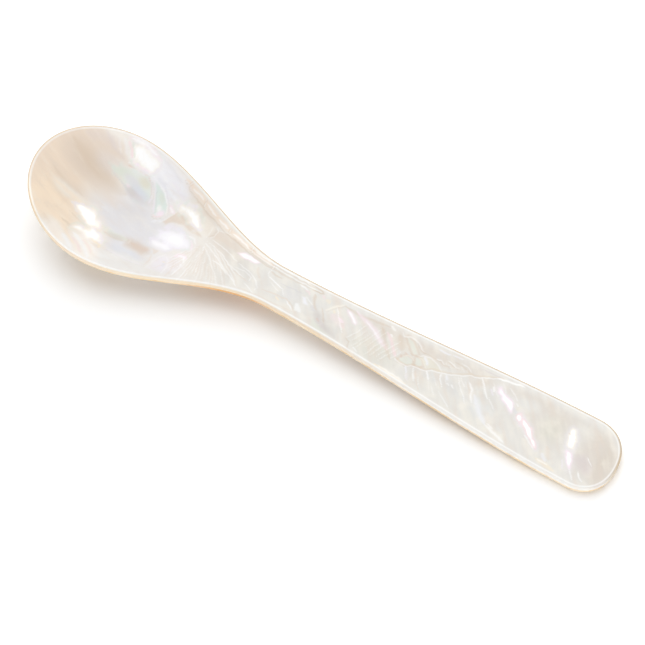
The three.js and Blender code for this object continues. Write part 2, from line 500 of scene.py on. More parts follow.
# %% Broad washes of the bowl
for tint, station, across, length, breadth, turn, hard, strength in (
    ("lavender", 21, -2, 24, 19, 0, 0.4, 0.95),
    ("pearl", 24, 9, 20, 8, -22, 0.4, 0.9),
    ("mist", 24, -11, 20, 8, 14, 0.35, 0.9),
    ("silver", 29.5, -9.4, 22, 6.5, 13, 0.4, 0.65),
    ("peach", 2, 1, 22, 30, 0, 0.5, 0.9),
    ("honey", 7.0, -7.0, 17, 13, -30, 0.4, 0.9),
    ("ivory", 11, -11.4, 10, 4.5, -32, 0.2, 0.7),
    ("tan", 8.5, 6, 18, 12, 5, 0.35, 0.95),
    ("brown", 8, 5.6, 12, 7, 8, 0.1, 0.15),
    ("tan", 10.5, 9.8, 9, 4, 12, 0.2, 0.6),
    ("cream", 8, -2.2, 10, 3.2, -8, 0.2, 0.55),
    ("tan", 7, 10.2, 7, 5, 40, 0.2, 0.5),
    ("tan", 13, 2, 13, 6, -4, 0.1, 0.55),
    ("lavender", 11.5, 7, 9, 6, 5, 0.2, 0.3),
    ("ivory", 7, -2.5, 6, 4, -10, 0.2, 0.5),
    ("grey", 20, 1, 9, 6, 0, 0.2, 0.25),
    ("blue", 20, 4.6, 7, 4, -10, 0.2, 0.6),
    ("blue", 23.5, -7.3, 12, 3, 2, 0.3, 0.55),
    ("tan", 40, -2.0, 14, 8, -30, 0.3, 0.2),
    ("lilac", 32, -5.8, 9, 7, 10, 0.3, 0.45),
    ("slate", 18.5, 4.4, 8, 3.4, -14, 0.1, 0.5),
    ("tan", 30.5, 8.2, 10, 3, -32, 0.2, 0.4),
    ("tan", 40.5, 2.6, 15, 5, -16, 0.3, 0.6),
    ("tan", 34.5, 5.6, 9, 5, -34, 0.2, 0.5),
    ("grey", 45.5, -0.8, 10, 6, -10, 0.2, 0.25),
):
    paint(tint, patch(station, across, length, breadth, turn, hard), strength)

# Painted light along the near rim, laid on as white in the colour; lustre on the honey beside the lip;
# and wisps over the whole bowl
paint("white", fade(edge, 0.8, 2.6) * fade(at, 10, 6) * fade(at, 17, 24) * fade(off, -7, -3), 0.6)
gleam(0.28 * patch(12, -10.5, 15, 6, -28, 0.2))
gleam(0.36 * patch(5, -7, 11, 9, -40, 0.2))
on_handle = fade(at, 44, 32)
WISP = 1.1
grain(cloud(WISP, 9, stretch=4, turn=-14), 1 - on_handle, ("ivory", 0.25), ("tan", 0.25))
print("bowl's washes, mean:", figure.mean(axis=0).round(3))

# %% Broad washes of the handle
for tint, station, across, length, breadth, turn, hard, strength in (
    ("silver", 57, 0, 18, 6, 0, 0.3, 0.7),
    ("ivory", 55, -3, 16, 1.8, 2, 0.2, 0.6),
    ("olive", 74.5, -2.4, 14, 5.5, -4, 0.4, 0.55),
    ("tan", 77, 3, 22, 4, 3, 0.3, 0.6),
    ("tan", 88, 3.6, 26, 5.0, 8, 0.4, 0.5),
    ("silver", 90, -3, 24, 7, 0, 0.5, 0.95),
    # Painted highlight along the near edge: this ivory row, and those at stations 102 and 112.5
    ("ivory", 88, -5.0, 26, 2, -5, 0.3, 0.5),
    ("tan", 108, 1.0, 20, 10, -25, 0.3, 0.4),
    ("olive", 111, 1.0, 7, 9, -10, 0.2, 0.75),
    ("tan", 109, 4.6, 22, 4, 3, 0.3, 0.4),
    ("tan", 121.2, 0.5, 12, 15, 0, 0.4, 0.75),
    ("brown", 122.4, -0.5, 6, 12, 8, 0.0, 0.3),
    ("ivory", 102, -5.4, 10, 2.6, -12, 0.3, 0.8),
    ("ivory", 112.5, -6.0, 7, 1.8, -4, 0.2, 0.9),
    ("grey", 66, -2, 6, 5, -30, 0.2, 0.25),
    ("grey", 98, 0, 4, 8, 40, 0.2, 0.3),
    ("tan", 112.5, 3, 7, 6, 0, 0.2, 0.4),
    ("tan", 123, -3.5, 5, 9, 0, 0.2, 0.8),
    ("ivory", 96, -4.5, 6, 3, -30, 0.2, 0.8),
    ("tan", 95.5, 2.5, 5, 2.5, 30, 0.2, 0.8),
    ("tan", 84, -3, 7, 4, -20, 0.2, 0.3),
    ("mist", 98, -2.4, 8, 5, -30, 0.2, 0.8),
    ("mist", 105, 3, 7, 4, 10, 0.2, 0.6),
    ("ivory", 89, -3.4, 18, 4, -5, 0.3, 0.5),
    ("ivory", 80, 2, 8, 4, 0, 0.2, 0.5),
):
    paint(tint, patch(station, across, length, breadth, turn, hard), strength)

# A cool tone over the whole handle, a pale far rim, and silk and mottle on top
paint("ash", on_handle, 0.36)
paint("mist", fade(edge, 0.9, 2.4) * fade(off, 3.4, 2.4) * on_handle, 0.25)
SILK = 1.4
MOTTLE = 2.6
grain(cloud(SILK, 6, stretch=4, turn=-52), on_handle, ("ivory", 0.35), ("tan", 0.45))
grain(cloud(MOTTLE, 7), on_handle, ("slate", 0.1), ("ivory", 0.4))
print("silk on the handle, mm apart:", SILK)

# %% [markdown]
# Flashes and streaks in the bowl
#
# Where the plates happen to face the light, the nacre throws it back as a white flash, and at
# the flash's border the colours part into rose, gold and green, as in an oil film. Here each flash
# is a painted highlight: its white core and the coloured fringes round it are painted into the
# colour, and its lustre is raised as well. The bowl has five such flashes. Beside them lie a green
# lens and a tongue of a deeper layer, and a brown streak where the shell's own skin was folded in.

# %% Streaks that run back from the lip
# A row is a tint, a width in mm, a strength, and the points of the line
for row in (
    ("brown", 4.0, 0.3, (4.0, 6.6), (8.5, 5.2), (12, 4.3), (17, 3.6)),
    ("tan", 2.6, 0.35, (2.6, 0.6), (6, -0.5), (9, -0.8), (14.5, -0.5)),
    ("brown", 1.2, 0.2, (3.6, -0.1), (6.5, -1.0), (10.5, -1.2)),
    ("honey", 1.4, 0.6, (5, -1.9), (8.5, -2.4), (11.5, -2.9)),
    ("brown", 1.9, 0.16, (3.6, -2.5), (8, -3.9), (11, -4.9), (14.6, -6.2)),
    ("rust", 1.2, 0.12, (6.4, -3.6), (10, -4.7), (13.0, -5.8)),
    ("peach", 1.6, 0.5, (7.5, -6.4), (10.5, -7.1), (13, -7.9)),
    ("brown", 1.1, 0.5, (9.5, -8.0), (14.5, -8.6), (19.0, -9.3)),
    ("brown", 0.5, 0.4, (10.2, -5.6), (12.4, -6.2), (14.6, -6.5)),
    ("peach", 1.4, 0.6, (7, -9.5), (9.5, -11), (12.5, -12.6)),
    ("plum", 3.0, 0.3, (5.5, 8.8), (9, 10.2), (12, 10.4)),
    ("plum", 1.2, 0.4, (8.6, 11.4), (11.5, 9.7), (13.8, 8.9)),
    ("pearl", 0.6, 0.3, (11.0, 11.7), (12, 10.4), (12.7, 9.3)),
    ("pearl", 1.0, 0.4, (12.0, 12.0), (12.9, 11.0), (13.6, 9.8)),
    ("tan", 1.6, 0.55, (10.5, 8.8), (13.5, 9.2), (16, 9.0)),
):
    stroke(*row)
print("mean with the streaks:", figure.mean(axis=0).round(3))

# %% The lens and the tongue
LENS = [
    (11.6, 7.0), (13.6, 7.9), (15.7, 8.4), (17.9, 8.6), (19.5, 8.4), (20.5, 7.7), (21.2, 6.4),
    (21.6, 5.0), (21.2, 3.9), (19.6, 3.4), (17.9, 4.0), (16.0, 4.9), (14.3, 5.7), (12.5, 6.4),
]
TONGUE = [
    (21.1, 8.4), (22.3, 8.0), (23.6, 7.3), (24.6, 6.3), (25.4, 5.2), (25.8, 4.1), (25.5, 3.2),
    (24.6, 2.5), (23.8, 2.7), (23.2, 3.6), (22.7, 4.8), (22.0, 6.4), (21.4, 7.7),
]
LENS_RAGGED = 0.5
lens = fade(inside(LENS) + LENS_RAGGED * ragged, 0.6, -0.6)
paint("teal", lens, 0.5)
for tint, station, across, length, breadth, turn, strength in (
    ("green", 14.2, 7.0, 5.5, 2.4, 14, 0.7),
    ("lavender", 17.0, 6.3, 6.0, 2.6, -18, 0.8),
    ("blue", 19.2, 5.0, 6.5, 3.2, -14, 0.8),
    ("olive", 19.2, 7.3, 4.4, 2.6, -14, 0.7),
    ("pink", 16.6, 5.2, 1.8, 1.0, -20, 0.6),
):
    paint(tint, lens * patch(station, across, length, breadth, turn, 0.2), strength)
paint("plum", patch(18.8, 4.3, 7.5, 2.4, -12, 0.2), 0.6)
paint("grey", patch(17.6, 4.6, 4, 2, -14, 0.2), 0.4)
facet("teal", 0.5, 0.8, *TONGUE)
tongue = fade(inside(TONGUE), 0.1, -0.2)
paint("green", tongue * patch(23.6, 6.4, 3.4, 2.0, -50, 0.2), 0.5)
paint("mist", tongue * patch(24.0, 4.2, 2.2, 1.6, -60, 0.3), 0.9)
paint("pink", tongue * patch(24.9, 3.4, 2.8, 2.2, 30, 0.2), 0.8)
for row in (
    ("white", 0.4, 0.55, (14.6, 9.1), (17, 9.4), (19.2, 9.1), (21.2, 8.7)),
    ("rust", 0.35, 0.6, (14.2, 8.55), (17.0, 8.8), (19.3, 8.5), (20.6, 7.6), (21.2, 6.4), (21.6, 5.0)),
    ("slate", 0.35, 0.5, (12.6, 6.3), (15.0, 5.3), (17.3, 4.3), (18.8, 3.8)),
    ("lilac", 0.5, 0.7, (19.9, 8.3), (20.9, 7.3), (21.6, 5.6), (21.7, 4.1)),
    ("slate", 0.3, 0.45, (20.3, 8.3), (21.3, 7.2), (22.0, 5.6), (22.2, 4.4)),
    ("lilac", 0.45, 0.8, (21.4, 7.9), (22.0, 6.2), (22.7, 4.3), (23.4, 2.9)),
    ("slate", 0.3, 0.5, (21.8, 7.7), (22.4, 6.1), (23.1, 4.2), (23.8, 3.0)),
    ("rose", 0.4, 0.95, (23.4, 2.8), (24.1, 2.45), (24.9, 2.6), (25.5, 3.3)),
    ("brown", 0.3, 0.45, (23.3, 2.4), (24.2, 2.05), (25.1, 2.2), (25.8, 3.0)),
    ("white", 0.4, 0.7, (22.0, 8.3), (23.5, 7.6), (24.8, 6.3), (25.7, 4.8), (26.1, 3.6)),
    ("slate", 0.3, 0.4, (22.9, 8.3), (24.3, 7.3), (25.5, 5.8), (26.4, 4.2)),
):
    stroke(*row)
print("tongue's vertices:", int((tongue > 0.5).sum()))

# %% Brown streak, pale walls and the nook under the shoulder
facet("brown", 1.6, 0.5, (21.8, -4.3), (23, -3.9), (26.9, -3.9), (27.4, -5.2), (26.2, -6.1), (22.4, -5.9))
facet("tan", 0.5, 0.8, (26.2, 2.2), (27.0, 3.6), (27.8, 5.1), (30, 4.7), (33, 3.5), (34.9, 2.3),
      (32.5, 2.4), (29.8, 3.1), (28, 2.8), (26.9, 2.0))
for row in (
    ("rust", 2.2, 0.4, (23.4, -4.7), (25.2, -4.7), (27.0, -4.5)),
    ("cream", 0.7, 0.5, (22.7, -4.1), (22.8, -5.2)),
    ("green", 1.7, 0.75, (16.4, -4.3), (19, -4.6), (22.2, -4.7)),
    ("brown", 0.5, 0.55, (17.4, -5.2), (19.6, -5.4), (22.0, -5.2)),
    ("lilac", 0.4, 0.5, (19, -8.5), (23, -8.8), (26, -8.6), (28.4, -8.3)),
    ("slate", 0.25, 0.3, (19.2, -8.8), (23, -9.1), (27.5, -8.8)),
    ("white", 1.2, 0.45, (19.8, 10.9), (22, 9.9), (23.2, 9.3)),
    ("blue", 1.0, 0.4, (20.8, 9.3), (23, 8.6), (26, 7.1)),
    ("white", 0.8, 0.5, (23.2, 8.7), (25.5, 7.4), (27.6, 6.4)),
    ("lilac", 1.0, 0.5, (24.0, 9.9), (26.5, 8.5), (28, 7.6)),
    ("slate", 1.0, 0.25, (20.6, 12.4), (23.5, 11.4), (26, 10.3)),
    ("pink", 1.3, 0.9, (25.9, 5.7), (26.7, 4.9), (27.3, 4.4)),
    ("white", 0.7, 0.8, (26.0, 5.4), (26.7, 4.8), (27.1, 4.5)),
    ("brown", 0.6, 0.35, (28.0, 4.6), (31, 3.8), (33.8, 2.7)),
    ("mist", 0.35, 0.6, (25.4, 1.4), (26.5, 3.0), (27.6, 4.9)),
    ("pearl", 1.0, 0.5, (24.2, 1.2), (25.2, 2.2), (25.9, 2.0)),
):
    stroke(*row)
paint("olive", patch(20, -5.0, 6, 2.0, 0, 0.2), 0.55)
paint("grey", patch(20, -5.0, 5, 2.0, 0, 0.2), 0.55)
print("mean with the streak:", figure.mean(axis=0).round(3))

# %% The bowl's flashes, with parted colours along their borders
PAINTED_BOWL_FLASHES = {
    "near front": ("honey", "ivory", 1.0, 0.9, [
        (10.4, -3.6), (11.6, -2.9), (13.8, -2.9), (15.2, -3.9), (16.0, -5.0), (15.2, -5.6), (12.1, -4.7),
    ]),
    "near side": ("honey", "ivory", 1.0, 0.9, [
        (12.9, -7.9), (14.5, -6.7), (16.0, -6.2), (17.6, -6.8), (18.0, -7.8), (16.6, -8.2), (14.5, -8.2),
    ]),
    "far side": ("pearl", "ivory", 1.0, 0.8, [
        (14.6, 11.7), (16.0, 12.3), (18.2, 12.2), (20.0, 11.4), (19.6, 9.7), (17.8, 9.3), (15.6, 9.9),
    ]),
    "shoulder": ("ivory", "ivory", 0.95, 0.8, [
        (27.7, 6.4), (29.0, 6.8), (30.3, 6.8), (31.5, 5.8), (33.0, 4.9), (33.8, 3.8), (32.4, 3.9),
        (31.0, 4.8), (29.6, 5.5), (28.2, 5.6),
    ]),
    "heel": ("lilac", "pearl", 0.5, 2.6, [
        (27.6, -0.4), (28.8, 0.8), (30.6, 1.1), (32.4, 0.5), (33.2, -0.4), (32.0, -1.3), (29.4, -1.8),
    ]),
}
FLASH_RAGGED = 0.6
PATCHY_LUMP = 1.6
patchy = fade(cloud(PATCHY_LUMP, 8), 0.35, -0.35)
# Each flash is a painted highlight: a white core with teal, lilac and tinted fringes painted into the
# colour, and its lustre raised by gleam
for halo, border, glow, soft, outline in PAINTED_BOWL_FLASHES.values():
    depth_in = inside(outline) + FLASH_RAGGED * ragged
    paint(halo, fade(depth_in, 0.2, -2.6), 0.45)
    paint(border, fade(depth_in, 0.3, -1.4), 0.7)
    paint("teal", fade(np.abs(depth_in + 0.9), 0, 0.6) * patchy, 0.3)
    paint("lilac", fade(np.abs(depth_in + 0.4), 0, 0.6) * (1 - patchy), 0.6)
    painted_highlight = glow * fade(depth_in, soft, -0.5 * soft)
    paint("white", painted_highlight)
    gleam(painted_highlight)

# A painted sheen on the near wall: white and honey laid on as painted light. Then streaks over it and
# round the flashes; the white streaks are painted highlights.
painted_sheen = np.maximum(patch(16.4, -10.8, 11, 6.5, -28, 0.3), patch(11, -11.6, 9, 4.5, -38, 0.2))
paint("white", painted_sheen, 0.75)
paint("honey", painted_sheen, 0.4)
for row in (
    ("pink", 1.6, 0.5, (12.6, 12.4), (15, 13.0), (18, 12.9), (20.6, 12.0)),
    ("white", 0.9, 1.0, (13.4, 12.5), (16, 12.9), (19.2, 12.5)),
    ("rose", 0.9, 0.9, (13, 12), (14, 11.1), (15, 9.9)),
    ("green", 0.7, 0.8, (13.8, 11.9), (14.6, 11.1), (15.2, 10.3)),
    ("white", 0.5, 0.7, (14.2, 11.8), (15.0, 10.8)),
    ("pink", 0.6, 0.7, (15.2, 9.5), (17.4, 9.3), (19.6, 9.4)),
    ("honey", 1.0, 0.6, (10.6, -9.4), (12.5, -10.2), (14.8, -11.4)),
    ("white", 1.6, 0.9, (13.2, -9.3), (15.3, -9.8), (17.3, -11.3), (18.9, -13.0)),
    ("white", 1.4, 0.8, (12.0, -10.8), (13.6, -11.7), (15.4, -13.1)),
    ("rose", 0.9, 0.5, (13.4, -10.1), (15.6, -11.1), (17.2, -12.7)),
    ("white", 0.5, 0.6, (16.0, -8.8), (17.8, -9.6), (19.2, -11.0)),
    ("gold", 0.9, 0.8, (17.0, -8.3), (18.5, -8.5), (18.9, -9.3)),
    ("rose", 0.5, 0.5, (15.4, -9.3), (17.2, -10.0), (18.7, -11.5)),
    ("lilac", 3.4, 0.8, (25.6, -1.8), (28, -2.2), (31, -2.4)),
    ("lilac", 2.0, 0.8, (27.0, 1.4), (29, 1.9), (31.4, 1.6)),
    ("white", 2.0, 0.7, (26.4, -2.1), (28.4, -2.4), (30.6, -2.4)),
    ("white", 0.7, 0.6, (32.4, 1.6), (33.8, 1.4), (34.6, 0.4)),
    ("pink", 0.5, 0.7, (33.2, 0.9), (34.2, 0.0), (34.4, -1.0)),
):
    stroke(*row)
print("share of the face that flashes:", round(float((flash > 0.5).mean()), 3))

# %% [markdown]
# Heel of the bowl and far rim
#
# At the heel the layers are ribbed as finely as a fingernail, and the ribs fan out from one point
# beside the shoulder. The rays are drawn one by one with a seeded random generator, each with its own
# start, length and strength, because even ribs would look combed. Along the far rim runs a
# band of thicker plates, cracked across here and there.

# %% The fan of ribs
FAN_FOCUS = np.array((35.4, 2.4))
FAN_BEND = 0.02
FAN_RAYS = 24
POINTS_ON_RAY = 5
FAN_FROM = -0.2
FAN_SPREAD = 1.75
FAN_SHADE = (0.32, 0.12)
dice = np.random.default_rng(11)
for i in range(FAN_RAYS):
    angle = FAN_FROM - FAN_SPREAD * (i + dice.uniform(0.2, 0.8)) / FAN_RAYS
    reaches = np.linspace(dice.uniform(1.5, 6.0), dice.uniform(7.0, 12.5), POINTS_ON_RAY)
    turns = angle - FAN_BEND * reaches
    ray = FAN_FOCUS + np.column_stack([reaches * np.cos(turns), reaches * np.sin(turns)])
    # The tan stroke beside each ray, set off by FAN_SHADE, is painted shade
    stroke("tan", 0.5, dice.uniform(0.2, 0.55), *(ray + FAN_SHADE))
    stroke("white", dice.uniform(0.22, 0.4), dice.uniform(0.25, 0.8), *ray)
for row in (
    ("white", 0.32, 0.6, (36.4, 2.7), (40.5, 1.9), (44.2, 0.7)),
    ("white", 0.3, 0.6, (36.2, 2.0), (40, 0.8), (43.6, -0.7), (46.6, -1.7)),
    ("white", 0.35, 0.7, (35.9, 1.6), (38.5, 0.3), (42, -1.5), (46.4, -4.0)),
    ("white", 0.32, 0.6, (35.6, 1.3), (38.5, -1.0), (41, -3.4), (43, -5.6)),
    ("white", 0.4, 0.7, (39.4, -1.2), (41.2, -1.4), (43.4, -2.6)),
    ("white", 0.35, 0.7, (35.0, -1.5), (34.7, -4.0), (34.2, -8.3)),
):
    stroke(*row)
print("rays:", FAN_RAYS)

# %% Cells beside the fan, facets at its focus
facet("ivory", 0.6, 0.3, (33.3, 6.5), (36.6, 5.3), (36.2, 2.9), (35.2, 2.6), (34.0, 4.2))
facet("tan", 0.5, 0.4, (37.3, 4.9), (41, 5.0), (44.6, 3.4), (43.5, 2.4), (40, 2.9), (37, 3.2))
facet("tan", 0.3, 0.5, (27.3, -3.6), (28.9, -3.6), (28.3, -4.9))
facet("lilac", 1.2, 0.35, (29.2, -8.6), (29.4, -6.4), (30.6, -4.0), (31.9, -5.4), (32.2, -8.2))
for row in (
    ("tan", 0.4, 0.6, (27.9, -4.7), (28.4, -6.5), (28.4, -8.4)),
    ("white", 0.45, 0.3, (29.0, -9.0), (29.1, -6.8), (29.8, -4.6), (30.8, -3.6)),
    ("white", 0.45, 0.4, (30.9, -3.9), (31.9, -5.2), (32.4, -7.0), (32.3, -8.8)),
    ("blue", 1.0, 0.5, (31.2, -5.2), (31.7, -7.0)),
    ("tan", 0.4, 0.5, (33.0, -5.2), (33.5, -7.0), (33.3, -8.6)),
    ("pink", 1.5, 0.8, (32.2, -3.5), (33.6, -2.9), (34.7, -3.2)),
    ("white", 0.8, 0.8, (32.8, -3.3), (34.0, -3.0), (34.5, -4.1)),
    ("gold", 0.5, 0.6, (31.0, -5.5), (31.5, -5.7)),
    ("white", 0.28, 0.5, (35.7, 2.6), (36.0, 4.0), (35.9, 5.3)),
    ("white", 0.28, 0.5, (36.6, 5.5), (37.3, 4.8), (37.0, 3.4), (36.3, 2.6)),
    ("white", 0.3, 0.5, (37.4, 4.9), (40, 5.05), (42.5, 4.4)),
    ("brown", 0.3, 0.4, (36.9, 5.0), (36.8, 3.6), (35.9, 2.6)),
):
    stroke(*row)
facet("pink", 0.6, 0.8, (43.0, 2.6), (44.3, 3.1), (46.3, 3.0), (47.6, 2.6), (46.8, 2.1), (44.5, 2.1))
facet("white", 0.5, 0.95, (43.5, 2.6), (44.4, 2.9), (46.2, 2.8), (47.3, 2.6), (46.7, 2.3), (44.6, 2.3))
print("mean with the cells:", figure.mean(axis=0).round(3))

# %% The band along the far rim
BAND = [(26.6, 11.0), (29.3, 9.9), (32.2, 8.5), (35.6, 7.2), (39, 5.8), (43, 4.6), (47, 3.8), (50.4, 3.2)]
BAND_INNER = [
    (26.3, 10.8), (28.6, 9.3), (30.6, 8.3), (32.6, 7.3), (36, 6.2), (38.8, 4.9), (42, 4.1),
    (45.2, 3.3), (48, 2.75), (51, 2.5), (55.5, 2.4),
]
stroke("peach", 1.9, 0.85, *BAND)
stroke("brown", 0.4, 0.5, *BAND_INNER)
for start, end in (
    ((28.6, 10.1), (31.6, 8.8)), ((32.7, 8.3), (35.6, 7.1)), ((36.2, 6.9), (38.8, 5.8)),
    ((40.0, 5.4), (44.4, 4.2)), ((45.8, 4.1), (49.8, 3.3)),
):
    stroke("white", 0.6, 0.8, start, end)
for start, end in (
    ((28.2, 10.9), (27.4, 10.0)), ((32.0, 9.3), (32.2, 7.6)), ((39.5, 6.2), (39.1, 4.9)),
    ((45.0, 4.8), (45.4, 3.4)), ((50.5, 3.4), (50.3, 2.4)),
):
    stroke("brown", 0.7, 0.6, start, end)
    stroke("white", 0.3, 0.8, start, end)
for lift, tint in ((0.0, "brown"), (0.28, "white"), (0.55, "brown"), (0.85, "white")):
    line = [(44, 3.9), (48, 3.0), (52, 2.65), (56, 2.6), (60.6, 2.75)]
    stroke(tint, 0.35, 0.4, *[(s, y + lift) for s, y in line])
stroke("brown", 0.45, 0.7, (57.5, 3.55), (60.4, 3.45), (61.1, 3.1), (60.5, 2.8), (58.8, 2.8))
print("band's length along the rim, mm:", BAND[-1][0] - BAND[0][0])

# %% [markdown]
# The handle's figure
#
# Along the handle the cut meets the layers more steeply, so they show as shapes with crisp
# outlines: a dark smear, rosy ripples crossed by fine hatching, a growth line where the animal
# stopped growing for a season, with lobed layers above it and a fringe below, and two bright
# broken streaks. They are laid from the broadest to the finest. The bright streaks are painted
# highlights, white with coloured borders, and the brown or tan beside some fine lines is painted shade.

# %% Neck
facet("lavender", 0.9, 0.25, (54.2, 0.2), (54.8, 0.9), (57.3, 0.8), (57.6, -0.3), (56.0, -1.2),
      (54.8, -0.9))
facet("mist", 0.4, 0.8, (57.5, -1.0), (58.1, -0.9), (59.2, -2.4), (57.9, -2.5))
facet("pearl", 0.6, 0.8, (57.9, 0.5), (58.6, 0.6), (59.8, -0.4), (58.8, -0.6))
for row in (
    ("tan", 0.8, 0.5, (47.7, 1.8), (48.2, 0.6), (49.2, -0.4)),
    ("white", 0.3, 0.6, (44.2, 0.7), (46.5, 0.1), (48.2, -0.7), (49.4, -2.0)),
    ("white", 0.3, 0.5, (44.0, -0.4), (46.0, -0.3), (47.8, -0.9), (47.7, -1.8)),
    ("tan", 0.3, 0.6, (44.0, -1.2), (46.0, -1.7), (47.7, -2.0)),
    ("white", 0.3, 0.6, (47.0, -2.4), (48.4, -3.0), (49.6, -3.6)),
    ("white", 0.25, 0.5, (48.3, -0.6), (49.6, -2.0), (49.5, -3.0)),
    ("brown", 0.5, 0.45, (50.4, 1.9), (51.6, 1.6), (53.0, 1.8)),
    ("white", 0.3, 0.5, (50.5, 2.4), (50.1, 1.6), (50.5, 0.8)),
    ("white", 0.4, 0.9, (50.5, 0.8), (52.0, 0.4), (54.3, 0.1)),
    ("white", 0.35, 0.6, (54.1, 0.0), (54.8, -0.9)),
    ("slate", 0.35, 0.5, (53.2, 0.9), (55.5, 1.05), (57.8, 1.1)),
    ("white", 0.6, 0.7, (56.4, 2.4), (57.4, 2.3), (58.2, 2.1)),
    ("rose", 0.6, 0.6, (57.6, 1.9), (58.6, 1.9), (59.0, 1.5)),
    ("tan", 0.45, 0.7, (50.6, -2.0), (53, -1.6), (55.8, -1.2), (57.0, -1.9)),
    ("gold", 0.6, 0.8, (53.6, -1.9), (54.5, -2.2)),
    ("white", 0.35, 0.8, (55.9, -1.5), (57.0, -2.2), (57.8, -2.9)),
    ("brown", 0.4, 0.4, (56.4, -1.3), (57.2, -1.8), (57.8, -3.0)),
    ("white", 0.3, 0.5, (51.6, -0.1), (52.8, -0.6), (53.6, -0.8)),
    ("tan", 0.4, 0.5, (45, -4.0), (50, -3.5), (55, -3.3), (58, -3.0)),
    ("white", 0.3, 0.5, (58.6, 0.9), (59.8, 0.4), (61.0, -0.1)),
):
    stroke(*row)
print("mean with the neck:", figure.mean(axis=0).round(3))

# %% The smear, the ripples and their hatching
facet("green", 1.0, 0.6, (61.8, -2.2), (63.8, -2.8), (65.6, -3.6), (64.0, -4.0), (62.2, -3.6))
paint("grey", patch(63.6, -2.0, 7.5, 2.8, -34, 0.2) * (0.8 + 0.3 * ragged), 0.9)
for row in (
    ("brown", 0.8, 0.5, (59.7, 2.2), (60.3, 1.2), (60.8, 0.3), (61.6, -0.4)),
    ("slate", 1.4, 0.5, (60.4, 0.0), (61.4, -0.8)),
    ("grey", 1.8, 0.5, (61.5, -0.4), (62.4, -1.6), (63.4, -2.4)),
    ("plum", 1.2, 0.6, (62.4, -1.5), (63.6, -2.2), (64.6, -2.6)),
    ("grey", 1.5, 0.5, (64.0, -2.2), (65.4, -2.9), (67.4, -3.8)),
    ("rust", 0.6, 0.5, (62.3, -1.6), (63.2, -2.0)),
    ("brown", 0.45, 0.45, (62.2, 0.6), (63.2, -0.7), (64.1, -1.9)),
    ("gold", 1.2, 0.4, (62.2, 2.4), (63.1, 2.0)),
    ("rose", 0.8, 0.6, (61.1, 2.8), (61.9, 2.3)),
    ("gold", 0.7, 0.5, (64.4, 1.2), (65.1, 0.7)),
    ("ivory", 0.6, 0.7, (63.0, 0.4), (64.7, 2.2), (66.0, 3.1)),
    ("brown", 0.4, 0.2, (63.3, 0.3), (64.9, 1.9), (66.2, 2.9), (68.4, 3.2)),
    ("white", 0.35, 0.8, (64.7, 2.1), (66.0, 0.5), (67.1, -0.9), (68.1, -2.3)),
    ("rose", 2.6, 0.45, (64.4, 0.2), (66.4, -0.2), (67.8, -1.0)),
    ("pink", 1.6, 0.8, (66.6, 2.6), (68.3, 1.7), (69.3, 0.6)),
    ("white", 0.7, 0.9, (67.1, 2.4), (68.4, 1.6), (69.2, 0.7)),
    ("pink", 0.9, 0.8, (66.3, 0.3), (67.2, -0.2)),
    ("brown", 0.8, 0.4, (66.0, 2.9), (69, 2.9), (72, 3.2), (76, 3.5)),
    ("pink", 1.7, 0.7, (68.4, 3.3), (71, 2.3), (73.2, 1.5), (75.0, 0.3), (77.0, -0.8)),
    ("white", 0.5, 0.6, (70.8, 2.3), (73.0, 1.4), (74.4, 0.6)),
    ("brown", 1.4, 0.45, (74.2, 2.7), (75.6, 0.9), (76.8, -0.8), (78.4, -2.1)),
    ("rose", 1.0, 0.8, (75.4, 2.3), (76.6, 1.5), (77.8, 0.0), (79.0, -1.1)),
    ("white", 0.7, 0.7, (76.1, 2.3), (76.7, 2.0)),
    ("brown", 2.4, 0.35, (77.6, 3.2), (78.6, 1.8), (79.4, 0.6)),
    ("white", 0.8, 0.6, (75.4, 3.7), (76.6, 3.4)),
    ("brown", 0.35, 0.5, (69.0, -2.7), (70.0, -3.1), (70.3, -4.3), (72.2, -4.4)),
    ("white", 0.4, 0.7, (71.0, -3.5), (72.2, -3.8)),
):
    stroke(*row)
HATCH_FROM = 70.3
HATCH_GAP = 1.0
HATCH_LEAN = 0.5
HATCH_SHADE = 0.3
for i, (top, bottom) in enumerate((
    (1.9, -2.6), (1.0, -2.7), (0.6, -3.6), (2.5, -3.5), (2.4, -2.2), (0.6, -3.5), (0.4, -3.4),
    (2.3, -3.3), (0.7, -3.4), (0.2, -2.0),
)):
    foot = HATCH_FROM + HATCH_GAP * i + dice.uniform(-0.2, 0.2)
    points = [(foot + HATCH_LEAN * y, y) for y in (bottom, 0.5 * (top + bottom), top)]
    # The brown stroke beside each hatch line, set off by HATCH_SHADE, is painted shade
    stroke("brown", 0.35, 0.14, *[(s + HATCH_SHADE, y) for s, y in points])
    stroke("white", 0.26, dice.uniform(0.25, 0.6), *points)
print("mean with the ripples:", figure.mean(axis=0).round(3))

